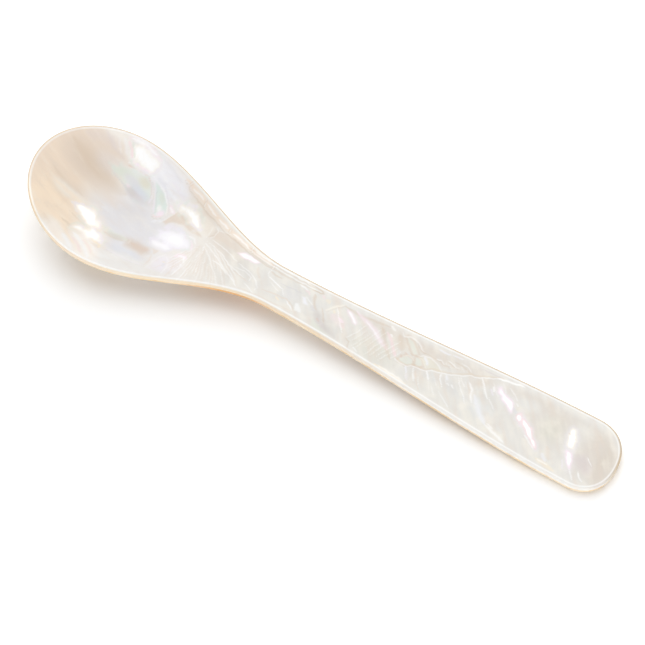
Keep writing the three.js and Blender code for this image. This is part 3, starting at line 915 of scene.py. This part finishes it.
# %% Lobed layers above the growth line
GROWTH_LINE = [
    (79.2, -1.4), (80.4, -1.7), (81.5, -1.6), (82.2, -1.0), (83.0, -0.85), (84.5, -0.7), (85.3, -0.35),
    (86.2, 0.1), (87.4, 0.5), (88.6, 0.85), (89.8, 1.1), (91.0, 1.7), (92.3, 2.6), (92.9, 2.9),
    (93.5, 2.85), (94.4, 3.2), (96.0, 4.0), (97.6, 4.8), (98.4, 5.1),
]
growth_gap, _, growth_side = follow(GROWTH_LINE)
growth = growth_gap * growth_side
for outline in (
    [(79.2, 3.5), (80.4, 3.2), (81.4, 2.2), (82.3, 1.4), (81.4, 1.2), (80.4, 2.2)],
    [(79.8, -0.9), (80.5, 0.1), (81.5, 0.0), (82.2, -0.5), (82.0, -1.0), (81.0, -1.5), (79.8, -1.4)],
    [(82.4, 0.8), (83.2, 0.8), (84.0, 0.0), (83.3, -0.6), (82.5, -0.4)],
):
    paint("brown", fade(np.abs(inside(outline) + 0.3), 0.0, 0.4), 0.3)
    facet("green", 0.4, 0.5, *outline)
facet("olive", 0.5, 0.5, (82.6, 1.3), (84.5, 1.9), (86.2, 1.6), (88.0, 0.7), (86.2, 0.1), (85.0, -0.1))
for row in (
    ("pearl", 0.8, 0.9, (83.6, 1.7), (84.4, 1.2), (85.1, 0.5)),
    ("brown", 0.8, 0.35, (81.6, 3.2), (82.4, 2.6), (83.6, 2.2)),
    ("white", 0.45, 0.6, (77.8, 3.9), (78.5, 3.35), (79.4, 3.75), (80.6, 3.9), (81.6, 3.6), (82.4, 2.8),
     (83.4, 2.4)),
    ("brown", 0.35, 0.35, (83.0, 2.2), (84.6, 2.4), (86.4, 2.3), (87.8, 2.1), (89.0, 2.2)),
    ("white", 0.35, 0.55, (82.3, 1.2), (83.4, 1.75), (85.0, 2.05), (86.4, 1.6), (88.2, 0.7)),
    ("ivory", 0.35, 0.55, (82.4, 1.1), (83.6, 1.0), (84.5, 0.2), (85.0, -0.3)),
    ("ivory", 0.35, 0.55, (79.9, -0.4), (80.6, 0.4), (81.6, 0.3), (82.3, -0.2)),
    ("rust", 0.6, 0.6, (79.5, -0.2), (79.9, -0.8)),
    ("rust", 0.5, 0.5, (80.0, 0.6), (80.6, 0.5)),
    ("brown", 0.5, 0.35, (80.8, 1.0), (81.9, 0.8)),
    ("white", 0.35, 0.6, (85.8, 2.4), (86.8, 2.6), (87.8, 2.2)),
    # The brown strokes just below the white lines at stations 87.8 and 89 are painted shade
    ("white", 0.3, 0.6, (87.8, 3.3), (89.2, 3.0), (90.4, 2.7)),
    ("brown", 0.3, 0.45, (87.8, 3.0), (89.2, 2.75), (90.4, 2.4)),
    ("white", 0.3, 0.6, (90.4, 3.9), (91.8, 3.8), (92.7, 3.3)),
    ("brown", 0.3, 0.4, (89.0, 3.6), (91.0, 3.5), (92.4, 3.1)),
    ("pearl", 0.7, 0.9, (85.3, 4.5), (86.6, 4.35), (87.9, 4.6)),
    ("pearl", 0.5, 0.8, (88.2, 4.7), (89.6, 4.75), (90.4, 4.9)),
    ("plum", 0.4, 0.6, (94.5, 5.0), (96.5, 5.2), (98.6, 5.3)),
    ("white", 0.7, 0.95, (97.6, 4.9), (99.2, 5.2), (102.8, 5.85)),
):
    stroke(*row)
TICKS = 9
TICK_FROM = np.array((87.6, 2.5))
TICK_GAP = np.array((0.5, 0.13))
TICK_RUN = (0.5, -0.45)
for i in range(TICKS):
    start = TICK_FROM + TICK_GAP * i + (0, dice.uniform(-0.3, 0.5))
    stroke("white", 0.25, 0.4, start, start + TICK_RUN)
print("growth line's length along the handle, mm:", round(GROWTH_LINE[-1][0] - GROWTH_LINE[0][0], 1))

# %% The fringe below the growth line
for row in (
    ("pearl", 0.5, 0.9, (81.3, -1.7), (82.2, -3.0), (83.0, -4.3)),
    ("mist", 0.45, 0.9, (82.6, -1.2), (83.4, -2.4), (84.2, -3.8)),
    ("tan", 0.35, 0.7, (83.2, -1.2), (84.6, -3.6), (86.0, -5.0)),
    ("white", 0.6, 0.9, (85.3, -0.5), (85.9, -1.2), (86.5, -2.1)),
    ("white", 0.4, 0.8, (88.0, 0.4), (88.4, -0.8), (89.2, -2.2)),
    ("tan", 0.4, 0.6, (87.7, 0.1), (88.4, -1.4), (89.0, -2.4)),
    ("pearl", 0.6, 0.8, (88.9, 0.7), (89.7, -0.3)),
    ("white", 0.4, 0.7, (89.9, -0.8), (90.4, -1.2)),
    ("white", 0.4, 0.7, (90.7, -0.8), (91.1, -1.2)),
    ("white", 0.3, 0.75, (91.0, 1.3), (92.4, -0.4), (94.6, -2.9)),
    ("white", 0.3, 0.6, (91.4, 1.6), (93.1, 0.0)),
    ("tan", 0.4, 0.6, (93.0, 1.2), (94.2, -0.4), (95.0, -1.6)),
    ("white", 0.7, 0.75, (93.2, 1.4), (94.3, 0.4), (94.7, -0.8), (95.6, -2.0)),
    ("white", 0.4, 0.9, (94.9, 3.4), (96.2, 2.2), (98.0, 0.0)),
    ("white", 0.3, 0.6, (98.0, 0.6), (99.8, -1.2)),
    ("white", 0.3, 0.6, (89.2, -3.2), (90.8, -4.1), (92.6, -5.2)),
    ("white", 0.3, 0.5, (87.4, -2.8), (88.6, -4.2)),
    ("pearl", 1.6, 0.7, (95.2, -0.3), (96.8, -1.9), (98.4, -3.4), (99.8, -4.4)),
):
    stroke(*row)
THREADS = 22
THREAD_FROM = 82.0
THREAD_GAP = 0.8
for i in range(THREADS):
    start = THREAD_FROM + THREAD_GAP * i + dice.uniform(-0.3, 0.3)
    top = np.interp(start, *zip(*GROWTH_LINE)) - dice.uniform(0.3, 2.2)
    fall = dice.uniform(0.8, 2.6)
    lean = np.interp(start, (84, 97), (0.5, 0.85))
    tint = "white" if i % 2 else "tan"
    stroke(tint, 0.3, dice.uniform(0.2, 0.5), (start, top), (start + lean * fall, top - fall))
print("mean with the fringe:", figure.mean(axis=0).round(3))

# %% The broken streaks and the tip
STREAK_RAGGED = 0.25
# Each streak is a painted highlight: a white core and a lilac, rose or pink border painted into the
# colour, with its lustre raised
for border, outline in (
    ("pink", [(99.0, 3.2), (100.2, 2.5), (102.2, 1.9), (102.8, 0.2), (101.7, 0.8), (100.2, 1.6)]),
    ("rose", [(104.0, 0.3), (104.6, 0.7), (105.2, -0.1), (105.1, -1.0), (104.2, -0.5)]),
    ("rose", [(105.4, -0.2), (106.8, -0.4), (107.6, -1.1), (108.6, -2.5), (110.0, -4.1), (107.9, -2.7),
              (106.4, -1.4)]),
    ("ivory", [(114.2, 1.7), (114.4, 3.2), (115.0, 3.1), (115.7, 1.6), (116.2, -0.4), (115.2, -0.4)]),
    ("pink", [(115.4, -1.3), (116.2, -1.4), (117.1, -2.8), (117.3, -4.5), (116.4, -3.6)]),
):
    depth_in = inside(outline) + STREAK_RAGGED * ragged
    paint("lilac", fade(depth_in, 0.0, -1.2), 0.4)
    paint(border, fade(depth_in, 0.05, -0.5), 0.85)
    painted_highlight = fade(depth_in, 0.45, -0.1)
    paint("white", painted_highlight)
    gleam(painted_highlight)
facet("plum", 2.0, 0.5, (117.5, -1.2), (118.6, -0.3), (119.8, -1.0), (121.0, -2.0), (121.2, -3.3),
      (120.0, -4.0), (118.5, -3.5), (117.4, -2.2))
for row in (
    ("white", 0.6, 0.8, (97.8, 3.0), (98.4, 2.0)),
    ("lilac", 0.6, 0.7, (97.5, 2.4), (98.6, 1.2)),
    ("white", 0.4, 0.6, (100.4, 4.3), (102.0, 3.4), (103.0, 2.6)),
    ("white", 0.45, 0.7, (103.0, 2.1), (103.6, 1.8)),
    ("blue", 0.8, 0.5, (102.8, 1.2), (103.8, 0.4)),
    ("white", 0.45, 0.7, (107.0, -2.6), (108.2, -3.5), (109.8, -4.6)),
    ("ivory", 2.2, 0.5, (107.0, -3.4), (108.6, -4.6), (110.0, -5.6)),
    # Painted highlight along the near edge: the white rows from station 100 to 104 and 111 to 113
    ("white", 1.0, 0.7, (99.8, -4.4), (101.6, -5.1), (104.4, -6.1)),
    ("white", 0.5, 0.6, (100.0, -4.0), (101.4, -4.5)),
    ("gold", 1.2, 0.5, (110.9, -5.6), (113, -5.8), (115.0, -6.2)),
    ("white", 0.5, 0.7, (111.2, -5.6), (113.4, -5.7)),
    ("pearl", 1.2, 0.7, (111.4, -4.0), (112.8, -5.3)),
    ("lilac", 0.5, 0.7, (115.3, -3.2), (115.8, -4.4), (116.2, -5.2)),
    ("white", 0.4, 0.7, (117.4, -4.6), (118.0, -5.4), (118.7, -6.1)),
    ("white", 0.4, 0.8, (118.9, -4.1), (119.5, -5.1), (120.5, -5.6)),
    ("white", 0.3, 0.7, (119.2, -0.6), (120.8, -1.8)),
    ("tan", 1.4, 0.5, (111.8, -2.4), (112.6, -3.6), (113.2, -4.6)),
    ("brown", 0.3, 0.6, (114.0, 1.95), (115.9, 1.2)),
    ("gold", 0.8, 0.6, (76.0, -4.4), (79, -4.5), (83, -4.9)),
    # Painted highlight along the near edge
    ("white", 0.6, 0.7, (77.0, -4.4), (80, -4.4), (82.6, -4.8)),
):
    stroke(*row)
print("share of the face that flashes:", round(float((flash > 0.5).mean()), 3))

# %% Keep the painting on the mesh


def keep(name, values):
    """Stores numbers or colours on the nacre's vertices under a name."""
    kind, field = ("FLOAT", "value") if values.ndim == 1 else ("FLOAT_COLOR", "color")
    attribute = nacre_layer.data.attributes.new(name, kind, "POINT")
    attribute.data.foreach_set(field, values.astype(np.float32).ravel())


keep("figure", np.column_stack([figure, np.ones(len(figure))]))
keep("flash", flash)
keep("growth_mm", growth)
print("kept on the mesh:", [a.name for a in nacre_layer.data.attributes if not a.name.startswith(".")])

# %% [markdown]
# Polished nacre
#
# Nacre is aragonite, index about 1.53, in clear plates with a little protein between them. The eye
# sees three things at once: a soft white body, a silky light from the plates below the surface,
# and the sharp gloss of the polish on top. The Principled shader has a part for each: the base
# colour carries the painted figure, some Metallic with a fair Roughness gives the silky light,
# strongest in the flashes, and a thin Coat gives the polish. Lines that must be thinner than the
# mesh are drawn here, from distances that were kept on the vertices.

# %% Helpers for the shaders
# A mix of colours has its mask at input 0, the colours at 6 and 7, and its result at output 2
MIX = "ShaderNodeMix"
NOISE = "ShaderNodeTexNoise"
ATTRIBUTE = "ShaderNodeAttribute"
MM_PER_METRE = 1000
SHELL_IOR = 1.53
POLISH_IOR = 1.5


def empty_tree(owner):
    """The node tree of a material or a world, with nothing in it."""
    owner.use_nodes = True
    owner.node_tree.nodes.clear()
    return owner.node_tree


# %% The nacre's colour
tree = empty_tree(nacre)
place = add(tree, "ShaderNodeTexCoord", out="Object")
place = add(tree, "ShaderNodeVectorMath", {0: place, "Scale": MM_PER_METRE}, operation="SCALE")
flashing = add(tree, ATTRIBUTE, out="Fac", attribute_name="flash")
growth_mm = add(tree, ATTRIBUTE, out="Fac", attribute_name="growth_mm")
edge_mm = add(tree, ATTRIBUTE, out="Fac", attribute_name="edge_mm")

# Edges of the plates: faint contour lines like those on a map, where the polish cut them
PLATE_LUMP = 5.0
PLATE_LINES = 9.0
PLATE_STRENGTH = 0.07
lumps = add(tree, NOISE, {"Vector": place, "Scale": 1 / PLATE_LUMP, "Detail": 3})
steps = add(tree, MATH, [lumps, PLATE_LINES], operation="MULTIPLY")
steps = add(tree, MATH, [steps, 1], operation="PINGPONG")
plate = add(tree, RANGE, [steps, 0, 0.25, PLATE_STRENGTH, 0], **SMOOTH)

# The growth line: a golden line above it, painted shade of the growth step, and a pale one below it
growth_lines = []
for shift, half_width, strength in ((-0.2, 0.3, 0.2), (0.12, 0.2, 0.4)):
    gap = add(tree, MATH, [growth_mm, shift], operation="ADD")
    gap = add(tree, MATH, [gap], operation="ABSOLUTE")
    growth_lines.append(add(tree, RANGE, [gap, 0.05, half_width, strength, 0], **SMOOTH))
growth_shadow_line, pale_line = growth_lines

# The polished edge: the honey layer shines through its outermost rim, as a thin line on the far
# side and on the near side of the bowl, and inside that the rounding is painted white as a highlight:
# a painted highlight line all round, and a broader painted highlight on the near side
sideways = add(tree, "ShaderNodeSeparateXYZ", [place], out="Y")
lengthways = add(tree, "ShaderNodeSeparateXYZ", [place], out="X")
is_far = add(tree, RANGE, [sideways, -4, 1, 0, 1])
is_near = add(tree, MATH, [1, is_far], operation="SUBTRACT")
by_bowl = add(tree, RANGE, [lengthways, 0, 25, 1, 0])
far_line = add(tree, RANGE, [edge_mm, 0.24, 0.5, 0.85, 0], **SMOOTH)
far_line = add(tree, MATH, [far_line, is_far], operation="MULTIPLY")
rim_highlight_out = add(tree, RANGE, [edge_mm, 0.36, 0.55, 0, 1], **SMOOTH)
rim_highlight_in = add(tree, RANGE, [edge_mm, 0.55, 0.85, 0.5, 0], **SMOOTH)
painted_rim_highlight = add(tree, MATH, [rim_highlight_out, rim_highlight_in], operation="MULTIPLY")
painted_near_highlight = add(tree, RANGE, [edge_mm, 0.4, 0.7, 0.3, 0], **SMOOTH)
painted_near_highlight = add(tree, MATH, [painted_near_highlight, is_near], operation="MULTIPLY")
near_line = add(tree, RANGE, [edge_mm, 0.1, 0.42, 0.6, 0], **SMOOTH)
near_line = add(tree, MATH, [near_line, is_near], operation="MULTIPLY")
near_line = add(tree, MATH, [near_line, by_bowl], operation="MULTIPLY")

# All the lines over the painted figure
colour = add(tree, ATTRIBUTE, out="Color", attribute_name="figure")
for mask, tint in (
    (plate, "#D8CDC2"), (growth_shadow_line, "#D8BC93"), (pale_line, "#FFFFFF"),
    (painted_rim_highlight, "#FFFFFF"), (painted_near_highlight, "#FFFFFF"), (far_line, "#D9C2A0"), (near_line, "#EBCB98"),
):
    colour = add(tree, MIX, {0: mask, 6: colour, 7: (*linear(tint), 1)}, out=2, data_type="RGBA")

# %% The nacre's gloss
FLASH_LUSTRE = 0.45
BODY_LUSTRE = 0.05
RIM_SHINE = 0.3
rim_shine = add(tree, MATH, [painted_rim_highlight, RIM_SHINE], operation="MULTIPLY")
shining = add(tree, MATH, [flashing, rim_shine], operation="MAXIMUM")
lustre = add(tree, RANGE, [shining, 0, 1, BODY_LUSTRE, FLASH_LUSTRE])
WAVE = 1.6
FLASH_RISE = 0.15
RELIEF = 0.02 * MM
waves = add(tree, NOISE, {"Vector": place, "Scale": 1 / WAVE, "Detail": 3, "Distortion": 0.8})
relief = add(tree, MATH, [flashing, FLASH_RISE, waves], operation="MULTIPLY_ADD")
bumped = add(tree, "ShaderNodeBump", {"Strength": 1, "Distance": RELIEF, "Height": relief})
polish = add(tree, "ShaderNodeBsdfPrincipled", {
    "Base Color": colour, "Metallic": lustre, "Roughness": 0.36, "IOR": SHELL_IOR,
    "Normal": bumped, "Coat Weight": 0.2, "Coat Roughness": 0.06, "Coat IOR": POLISH_IOR,
})
add(tree, "ShaderNodeOutputMaterial", {"Surface": polish})
print("nacre:", len(tree.nodes), "nodes")

# %% [markdown]
# Polished honey-coloured shell
#
# Under the nacre lies the shell's older layer, stained honey by the animal's own pigments. On the
# edge it shows as fine lines, one for each time the animal thickened its shell, and on the back as
# broad bands, with finer lines between them, that curve round the place where the shell began to
# grow. Round the neck the honey is painted a deeper amber, as painted shade where the raised neck
# faces down and away from the light, and here and there on the back the polish has gone through to
# white nacre with a touch of rose and green.

# %% The honey layer's shader
tree = empty_tree(honey)
place = add(tree, "ShaderNodeTexCoord", out="Object")
place = add(tree, "ShaderNodeVectorMath", {0: place, "Scale": MM_PER_METRE}, operation="SCALE")
depth_mm = add(tree, ATTRIBUTE, out="Fac", attribute_name="depth_mm")
edge_mm = add(tree, ATTRIBUTE, out="Fac", attribute_name="edge_mm")

# Bands on the back, round the point where the shell began
SHELL_ORIGIN = (75, -95, 0)
BAND_WIDTH = 3.2
GROWTH_STEP = 0.7
BEND_EVERY = 22.0
BEND_BY = 9.0
bend = add(tree, NOISE, {"Vector": place, "Scale": 1 / BEND_EVERY, "Detail": 2})
reach = add(tree, "ShaderNodeVectorMath", [place, SHELL_ORIGIN], out="Value", operation="DISTANCE")
reach = add(tree, MATH, [bend, BEND_BY, reach], operation="MULTIPLY_ADD")
ring = add(tree, NOISE, {"W": reach, "Scale": 1 / BAND_WIDTH, "Detail": 2}, noise_dimensions="1D")
band = add(tree, RANGE, [ring, 0.3, 0.7, 0, 1], **SMOOTH)
step = add(tree, NOISE, {"W": reach, "Scale": 1 / GROWTH_STEP, "Detail": 1}, noise_dimensions="1D")
step = add(tree, RANGE, [step, 0.5, 0.75, 0, 0.4], **SMOOTH)

# Lines on the edge, one below the other
LINE_GAP = 0.3
SWAYS_PER_MM = 0.3
SWAY_BY = 1.5
line = add(tree, MATH, [depth_mm, 1 / LINE_GAP], operation="MULTIPLY")
sway = add(tree, NOISE, {"Vector": place, "Scale": SWAYS_PER_MM, "Detail": 2})
line = add(tree, MATH, [sway, SWAY_BY, line], operation="MULTIPLY_ADD")
line = add(tree, NOISE, {"W": line, "Scale": 1, "Detail": 1}, noise_dimensions="1D")
line = add(tree, RANGE, [line, 0.5, 0.7, 0, 0.5], **SMOOTH)
on_edge = add(tree, RANGE, [edge_mm, 0.5, 1.2, 1, 0], **SMOOTH)
line = add(tree, MATH, [line, on_edge], operation="MULTIPLY")

# Pearly places on the back
PEARLY_EVERY = 15.0
off_edge = add(tree, MATH, [1, on_edge], operation="SUBTRACT")
pearly = add(tree, NOISE, {"Vector": place, "Scale": 1 / PEARLY_EVERY, "Detail": 3})
pearly = add(tree, RANGE, [pearly, 0.4, 0.6, 0.15, 0.85], **SMOOTH)
pearly = add(tree, MATH, [pearly, off_edge], operation="MULTIPLY")
rosy = add(tree, RANGE, [ring, 0.5, 0.7, 0, 0.6], **SMOOTH)
rosy = add(tree, MATH, [rosy, pearly], operation="MULTIPLY")
greenish = add(tree, RANGE, [ring, 0.5, 0.3, 0, 0.6], **SMOOTH)
greenish = add(tree, MATH, [greenish, pearly], operation="MULTIPLY")

# Painted shade round the neck: a deeper amber
NECK_X = -17.0
NECK_REACH = 13.0
along = add(tree, "ShaderNodeSeparateXYZ", [place], out="X")
from_neck = add(tree, MATH, [along, -NECK_X], operation="ADD")
from_neck = add(tree, MATH, [from_neck], operation="ABSOLUTE")
neck_shade = add(tree, RANGE, [from_neck, 1, NECK_REACH, 0.85, 0], **SMOOTH)

# All of them over plain honey, and the gloss
colour = (*linear("#F0D5A8"), 1)
for mask, tint in (
    (band, "#F6E6CB"), (step, "#E0BE8C"), (line, "#D9AE70"), (pearly, "#F1EBE4"),
    (rosy, "#F3DEE0"), (greenish, "#DDE9E0"), (neck_shade, "#DFA257"),
):
    colour = add(tree, MIX, {0: mask, 6: colour, 7: (*linear(tint), 1)}, out=2, data_type="RGBA")
lustre = add(tree, RANGE, [pearly, 0, 1, BODY_LUSTRE, FLASH_LUSTRE])
bumped = add(tree, "ShaderNodeBump", {"Strength": 1, "Distance": RELIEF, "Height": ring})
polish = add(tree, "ShaderNodeBsdfPrincipled", {
    "Base Color": colour, "Metallic": lustre, "Roughness": 0.34, "IOR": SHELL_IOR,
    "Normal": bumped, "Coat Weight": 0.15, "Coat Roughness": 0.1, "Coat IOR": POLISH_IOR,
})
add(tree, "ShaderNodeOutputMaterial", {"Surface": polish})
print("honey shell:", len(tree.nodes), "nodes")

# %% [markdown]
# Table, light and camera
#
# The table is plain white paper and should vanish into the white background. So, for rays that
# come from the camera or a reflection, the paper shines a little, and farther off it is pure
# white. Thin shell lets warm light through, which a solid mesh does not, so the shine is warm and
# the paper's own colour a little cold: together they are white in the light and warm in the shadow.
# A broad soft lamp leans over from the far side and throws the shadow to the near side. A second
# one, lower on the same side, lights the table alone and draws the shadow out. White cards stand
# on both sides in such a photograph and brighten the edges and the inside of the bowl. Light
# linking lets them light the shell alone, so the shadow stays, and like the second lamp they are
# hidden from reflections, where they would look like more lamps.

# %% Table
WHITE = (1, 1, 1, 1)
PAPER = (0.92, 0.92, 0.92, 1)
SEEN_PAPER = (0.86, 0.92, 0.96, 1)
SEEN_SHINE = (0.256, 0.204, 0.17, 1)
HALF_TABLE = 1.5
WHITE_FROM = 0.1
WHITE_BY = 0.3


def seen_rays(tree):
    """1 for rays from the camera, a reflection or clear matter, and 0 for those that carry light."""
    seen = 0
    for kind in ("Is Camera Ray", "Is Glossy Ray", "Is Transmission Ray"):
        ray = add(tree, "ShaderNodeLightPath", out=kind)
        seen = add(tree, MATH, [seen, ray], operation="MAXIMUM")
    return seen


table = bpy.data.objects.new("table", bpy.data.meshes.new("table"))
bpy.context.scene.collection.objects.link(table)
corners = [(x * HALF_TABLE, y * HALF_TABLE, 0) for x, y in ((-1, -1), (1, -1), (1, 1), (-1, 1))]
table.data.from_pydata(corners, [], [(0, 1, 2, 3)])
paper = bpy.data.materials.new("white_paper")
table.data.materials.append(paper)
tree = empty_tree(paper)
seen = seen_rays(tree)
paper_colour = add(tree, MIX, {0: seen, 6: PAPER, 7: SEEN_PAPER}, out=2, data_type="RGBA")
shine = add(tree, "ShaderNodeEmission", {"Color": SEEN_SHINE, "Strength": seen})
matt = add(tree, "ShaderNodeBsdfDiffuse", {"Color": paper_colour})
near_paper = add(tree, "ShaderNodeAddShader", [matt, shine])
place = add(tree, "ShaderNodeTexCoord", out="Object")
reach = add(tree, "ShaderNodeVectorMath", [place], out="Value", operation="LENGTH")
farness = add(tree, RANGE, [reach, WHITE_FROM, WHITE_BY, 0, 1], **SMOOTH)
farness = add(tree, MATH, [farness, seen], operation="MULTIPLY")
far_paper = add(tree, "ShaderNodeEmission", {"Color": WHITE})
surface = add(tree, "ShaderNodeMixShader", [farness, near_paper, far_paper])
add(tree, "ShaderNodeOutputMaterial", {"Surface": surface})
print("table, metres wide:", 2 * HALF_TABLE)

# %% Light
FILL = 0.3
PHOTO_AZIMUTH = 29.32
LAMP_DISTANCE = 0.8
scene = bpy.context.scene
scene.view_settings.view_transform = "Standard"
scene.world = bpy.data.worlds.new("white_room")
tree = empty_tree(scene.world)
level = add(tree, RANGE, [seen_rays(tree), 0, 1, FILL, 1])
sky = add(tree, "ShaderNodeBackground", {"Color": WHITE, "Strength": level})
add(tree, "ShaderNodeOutputWorld", {"Surface": sky})


def towards(azimuth, elevation):
    """The direction from the object to a place seen at that azimuth and elevation, in degrees."""
    a, e = math.radians(azimuth), math.radians(elevation)
    return Vector((math.sin(a) * math.cos(e), -math.cos(a) * math.cos(e), math.sin(e)))


def only(name, pieces):
    """A collection of the pieces that a lamp may light."""
    collection = bpy.data.collections.new(name)
    for piece in pieces:
        collection.objects.link(piece)
    return collection


SHELL = only("shell", [nacre_layer, honey_layer])
TABLE = only("table_top", [table])
for name, azimuth, elevation, width, power, lit, mirrored in (
    ("far_lamp", PHOTO_AZIMUTH + 180, 59, 1.3, 4.9, None, True),
    ("table_lamp", PHOTO_AZIMUTH + 180, 42, 1.3, 4.8, TABLE, False),
    ("near_card", PHOTO_AZIMUTH, 15, 0.6, 4.8, SHELL, False),
    ("far_card", PHOTO_AZIMUTH + 180, 12, 0.6, 1.8, SHELL, False),
):
    lamp = bpy.data.lights.new(name, "AREA")
    lamp.shape = "DISK"
    lamp.size = width
    lamp.energy = power
    lamp_object = bpy.data.objects.new(name, lamp)
    scene.collection.objects.link(lamp_object)
    from_lamp = towards(azimuth, elevation)
    lamp_object.location = from_lamp * LAMP_DISTANCE
    lamp_object.rotation_mode = "QUATERNION"
    lamp_object.rotation_quaternion = (-from_lamp).to_track_quat("-Z", "Y")
    lamp_object.light_linking.receiver_collection = lit
    lamp_object.visible_glossy = mirrored
    print(name, "watts:", power)

# %% Camera
PHOTO_ELEVATION = 67
CAMERA_DISTANCE = 0.4566
camera = bpy.data.cameras.new("camera")
camera.lens = 135
camera.sensor_width = 36
camera_object = bpy.data.objects.new("camera", camera)
scene.collection.objects.link(camera_object)
scene.camera = camera_object
target = Vector((0.98, -1.46, 3.0)) * MM
back = towards(PHOTO_AZIMUTH, PHOTO_ELEVATION)
camera_object.location = target + back * CAMERA_DISTANCE
camera_object.rotation_mode = "QUATERNION"
camera_object.rotation_quaternion = (-back).to_track_quat("-Z", "Y")
print("camera's distance, mm:", round(CAMERA_DISTANCE / MM))
